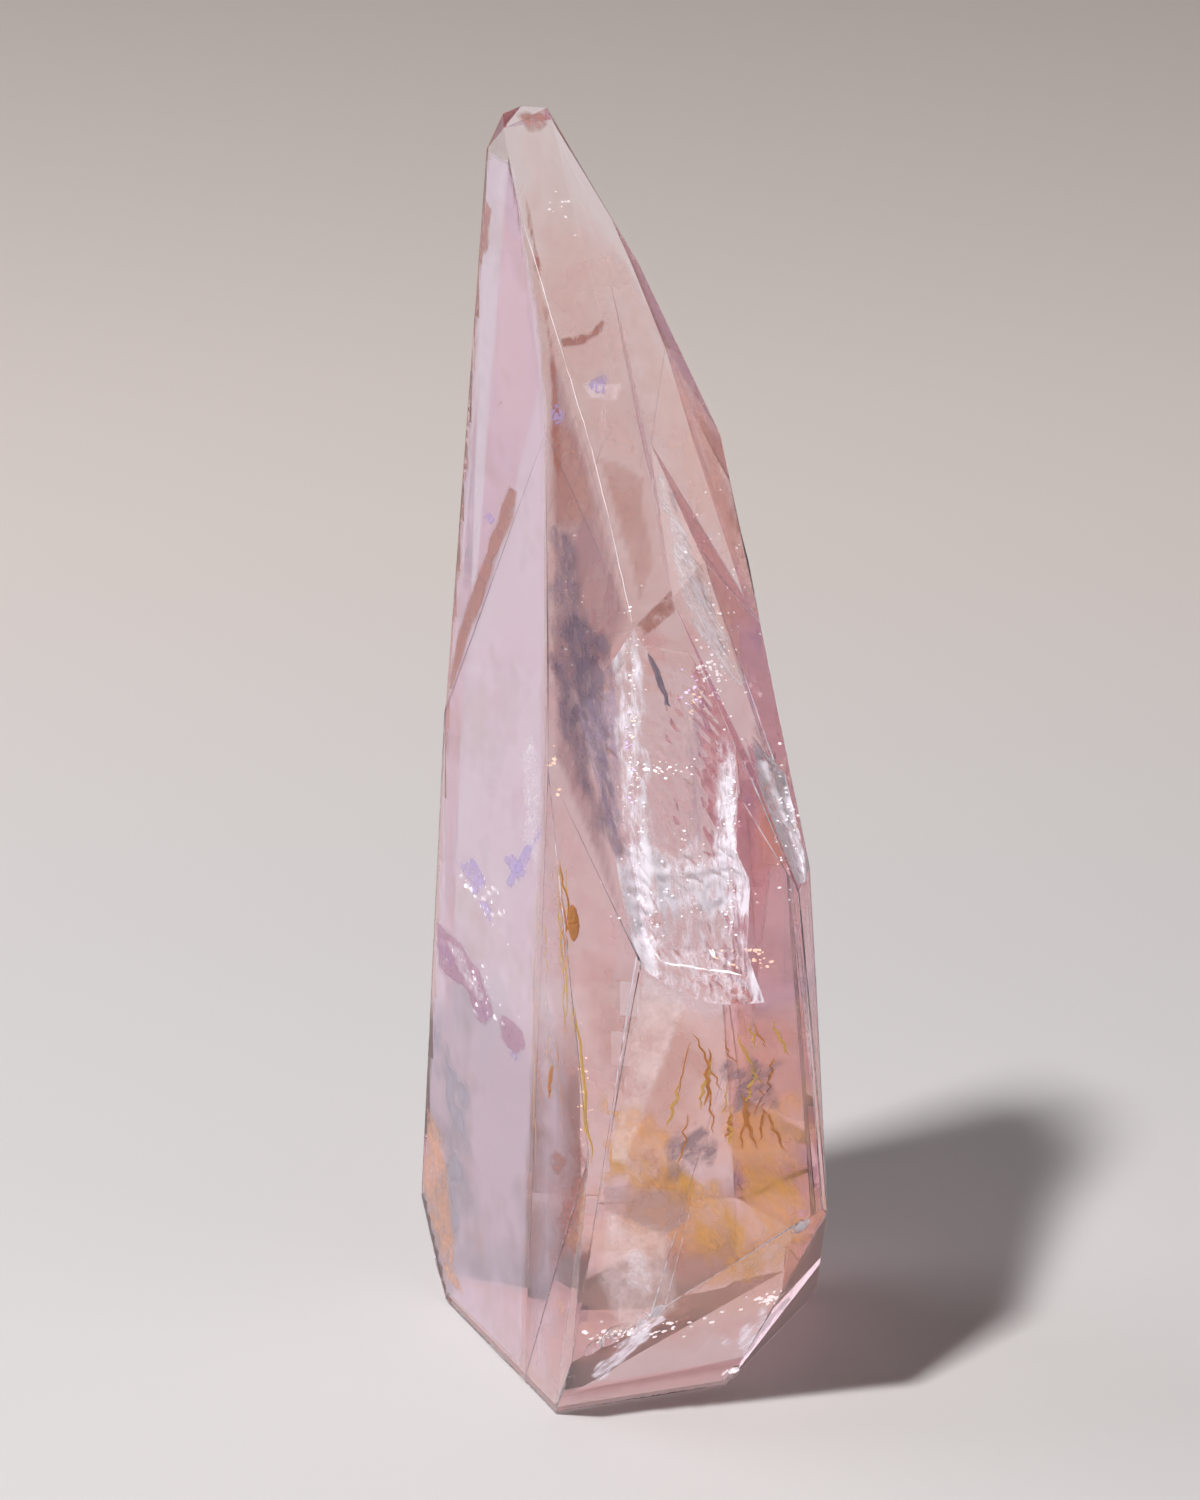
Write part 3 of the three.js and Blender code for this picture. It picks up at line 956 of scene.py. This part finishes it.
def sparkles():
    """Small flakes and chips under the surface; their glow paints them as bright glints."""
    scatter([
        ("sparkles_left", (-11.2, 39.4), (2.2, 1.8), 26, 0.42, spark, CLOSE, 3),
        ("sparkles_cluster", (-11.8, 31), (3.4, 2.4), 34, 0.36, spark, CLOSE, 4),
        ("sparkles_chip", (9.8, 1.2), (0.8, 0.2), 6, 0.5, spark, 0.2, 17),
        ("sparkles_foot", (1.6, 7.6), (5, 1.6), 60, 0.26, spark, UNDER, 5),
        ("sparkles_corner", (13, 8.8), (2.6, 1), 40, 0.26, spark, UNDER, 9),
        ("sparkles_right", (7.8, 63), (1.2, 2), 34, 0.18, spark, UNDER, 6),
        ("sparkles_top", (-5, 99), (3, 2), 10, 0.16, spark, UNDER, 7),
        ("sparkles_wedge", (-3.6, 66), (1.2, 5), 30, 0.16, spark, UNDER, 8),
    ])


def bright_films():
    """The white patches, of which the band beside the left front edge is a painted highlight, the silvery
    shards at the foot and the silvery strip on the right.
    """
    # A painted highlight: a glowing white band beside the left front edge
    veil(
        "painted_highlight_band", [(-8, 58), (-6, 57), (-6, 46), (-8.4, 46)], white_film,
        deep=0.5, soft=0.9, cell=0.3,
    )
    veil(
        "bright_foot", [(-0.8, 17), (3.4, 16), (3.4, 11), (-0.4, 11)], white_film,
        deep=0.7, soft=1.6, cell=0.3,
    )
    shards = [(-2.7, 3.6), (-0.6, 7.2), (2.9, 10.6), (4.2, 9), (1.7, 5.4), (-1.4, 2.4)]
    veil("foot_shards", shards, foot_silver, deep=0.25, soft=0.9, cell=0.22, ragged=0.8)
    right = [(7, 5), (12, 9.4), (15.6, 6), (11, 2)]
    veil("foot_shards_right", right, foot_silver, deep=0.4, soft=1.6, cell=0.3, ragged=1.2)
    strip = [(2.6, 79), (4.8, 75), (10.8, 60.5), (8.4, 61.5), (4.6, 68)]
    veil("silver_right", strip, silver, deep=0.3, soft=0.6, cell=0.3)


def embers_and_glints():
    """Small orange flakes whose glow paints orange glints, and the white and violet painted glints on the
    break.
    """
    scatter([
        ("embers_wedge", (-3.9, 69), (0.8, 2.4), 6, 0.22, ember, UNDER, 12),
        ("embers_left", (-5.4, 55), (0.9, 2.4), 7, 0.22, ember, UNDER, 13),
        ("embers_right", (10.2, 40.2), (2.2, 0.8), 22, 0.24, ember, UNDER, 14),
        ("embers_low", (-3.2, 27), (0.8, 5), 18, 0.16, ember, UNDER, 15),
        ("embers_break", (6.2, 60.5), (0.8, 1.6), 9, 0.2, ember, UNDER, 16),
        ("glints_ridge", (1.2, 56), (0.9, 15), 70, 0.13, spark, ON_TOP, 18),
        ("glints_wall", (8.9, 51), (0.8, 10), 60, 0.13, spark, ON_TOP, 19),
        ("glints_ice", (4.6, 46.6), (5, 5), 110, 0.14, spark, ON_TOP, 20),
        ("glints_flake", (13.4, 50.5), (1.2, 5), 40, 0.16, spark, ON_TOP, 21),
        ("glints_violet_ridge", (0.9, 57.6), (0.5, 4), 16, 0.17, violet_spark, ON_TOP, 22),
        ("glints_violet_upper", (5.6, 61.6), (0.8, 1.6), 14, 0.17, violet_spark, ON_TOP, 23),
        ("glints_ember_ridge", (1.0, 58.4), (0.4, 3), 9, 0.14, ember, ON_TOP, 24),
        ("glints_stripe", (3.4, 55.3), (2.4, 0.9), 40, 0.14, spark, ON_TOP, 25),
        ("glints_strip", (8.4, 67), (2.2, 9), 46, 0.15, spark, 0.1, 26),
    ])


def bright_line(name, corners, radius, deep, wander, seed):
    """Glowing needles end to end along the corners: a painted highlight line."""
    for index, (start, end) in enumerate(zip(corners, corners[1:])):
        needle(
            f"{name}_{index}", start, end,
            radius=radius, material=spark, deep=deep, wander=wander, seed=seed + index,
        )


def fine_lines():
    """The painted highlight on an edge high up, the grey spindle beside it, and the break's white rim, a
    painted highlight on its lip.
    """
    upper = [(-7.6, 98), (-4.3, 87.4), (-2.4, 81.3), (-0.8, 75.1), (1.0, 67.3)]
    bright_line("edge_glint", upper, radius=0.03, deep=0.05, wander=0.04, seed=70)
    needle(
        "break_spindle", (2.3, 64.8), (4.1, 60.2),
        radius=0.26, material=dark_spindle, deep=0.4, wander=0.04, seed=80,
    )
    rim = [(0.9, 44.4), (1.6, 41.8), (3.4, 39.8), (7.2, 38.9), (9.8, 38.6)]
    bright_line("rim", rim, radius=0.09, deep=0.08, wander=0.05, seed=60)


def inner_cracks():
    """Curved healed cracks deeper inside, seen from every side."""
    film("crack_1", (-4, 34), size=(10, 22), material=crack_film, deep=7, lean=20, turn=65, seed=21)
    film("crack_2", (8, 36), size=(12, 20), material=crack_film, deep=10, lean=-25, turn=-50, seed=22)
    film("crack_3", (0, 74), size=(8, 20), material=crack_film, deep=8, lean=12, turn=40, seed=23)
    film("crack_4", (4, 16), size=(16, 14), material=ochre_film, deep=9, lean=-60, turn=30, seed=24)
    film("crack_5", (-4, 82), size=(8, 18), material=crack_film, deep=6, lean=8, turn=-45, seed=25)
    film("crack_6", (-8, 14), size=(14, 16), material=rust_film, deep=12, lean=40, turn=20, seed=26)


hazes()
back_hazes()
rust_marks()
smoky_marks()
violet_marks()
ochre_marks()
sparkles()
bright_films()
embers_and_glints()
fine_lines()
inner_cracks()


def floor():
    """A large pale table top whose tint changes a little from front to back: painted light and shade,
    lighter and warmer behind.
    """
    bpy.ops.mesh.primitive_plane_add(size=TABLE_SIZE, location=(0, TABLE_BACK, -FLOOR_GAP))
    table = bpy.context.object
    table.name = "floor"
    material, shader = new_material("table top", FRONT_TINT[:3], 0.7)
    tree = material.node_tree
    place = tree.nodes.new("ShaderNodeNewGeometry")
    split = tree.nodes.new("ShaderNodeSeparateXYZ")
    behind = tree.nodes.new("ShaderNodeMapRange")
    behind.interpolation_type = "SMOOTHSTEP"
    behind.inputs["From Min"].default_value = FRONT_TO
    behind.inputs["From Max"].default_value = BACK_FROM
    shade = tree.nodes.new("ShaderNodeMix")
    shade.data_type = "RGBA"
    shade.inputs["A"].default_value = FRONT_TINT
    shade.inputs["B"].default_value = BACK_TINT
    tree.links.new(place.outputs["Position"], split.inputs["Vector"])
    tree.links.new(split.outputs["Y"], behind.inputs["Value"])
    tree.links.new(behind.outputs["Result"], shade.inputs["Factor"])
    tree.links.new(shade.outputs["Result"], shader.inputs["Base Color"])
    table.data.materials.append(material)
    table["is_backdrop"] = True


def lamp(name, place, power, size, colour, aim=MIDDLE):
    """A soft square lamp pointing at the crystal."""
    data = bpy.data.lights.new(name, "AREA")
    data.energy = power
    data.size = size
    data.color = colour
    light = bpy.data.objects.new(name, data)
    bpy.context.scene.collection.objects.link(light)
    light.location = place
    light.rotation_euler = (Vector(aim) - Vector(place)).to_track_quat("-Z", "Y").to_euler()


def surroundings():
    """The pale room."""
    world = bpy.data.worlds.new("room")
    bpy.context.scene.world = world
    world.use_nodes = True
    sky = world.node_tree.nodes["Background"]
    sky.inputs["Color"].default_value = (1.0, 0.88, 0.82, 1)
    sky.inputs["Strength"].default_value = 0.13


def camera():
    """A long lens looking down 20 degrees on the front, as in the photograph."""
    data = bpy.data.cameras.new("camera")
    data.lens = LENS
    data.sensor_width = SENSOR
    view = bpy.data.objects.new("camera", data)
    bpy.context.scene.collection.objects.link(view)
    aim = MIDDLE - Vector((AIM_LEFT, 0, 0))
    view.location = aim + DISTANCE * Vector((0, -math.cos(PITCH), math.sin(PITCH)))
    view.rotation_euler = (math.pi / 2 - PITCH, 0, 0)
    bpy.context.scene.camera = view


floor()
surroundings()
lamp("window", place=(-0.29, -0.28, 0.74), power=7.2, size=0.07, colour=(1.0, 0.98, 0.97))
lamp("side window", place=(-0.9, 0.25, 0.42), power=3.5, size=0.6, colour=(0.93, 0.90, 1.0))
lamp("fill", place=(0.75, -0.45, 0.55), power=0.5, size=0.35, colour=(1.0, 0.94, 0.90))
camera()
scene = bpy.context.scene
scene.view_settings.view_transform = "Standard"
scene.view_settings.look = "None"

# Light passes many films inside the crystal, and two bounces off matt surfaces are enough
scene.cycles.transparent_max_bounces = 16
scene.cycles.diffuse_bounces = 2

low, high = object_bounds()
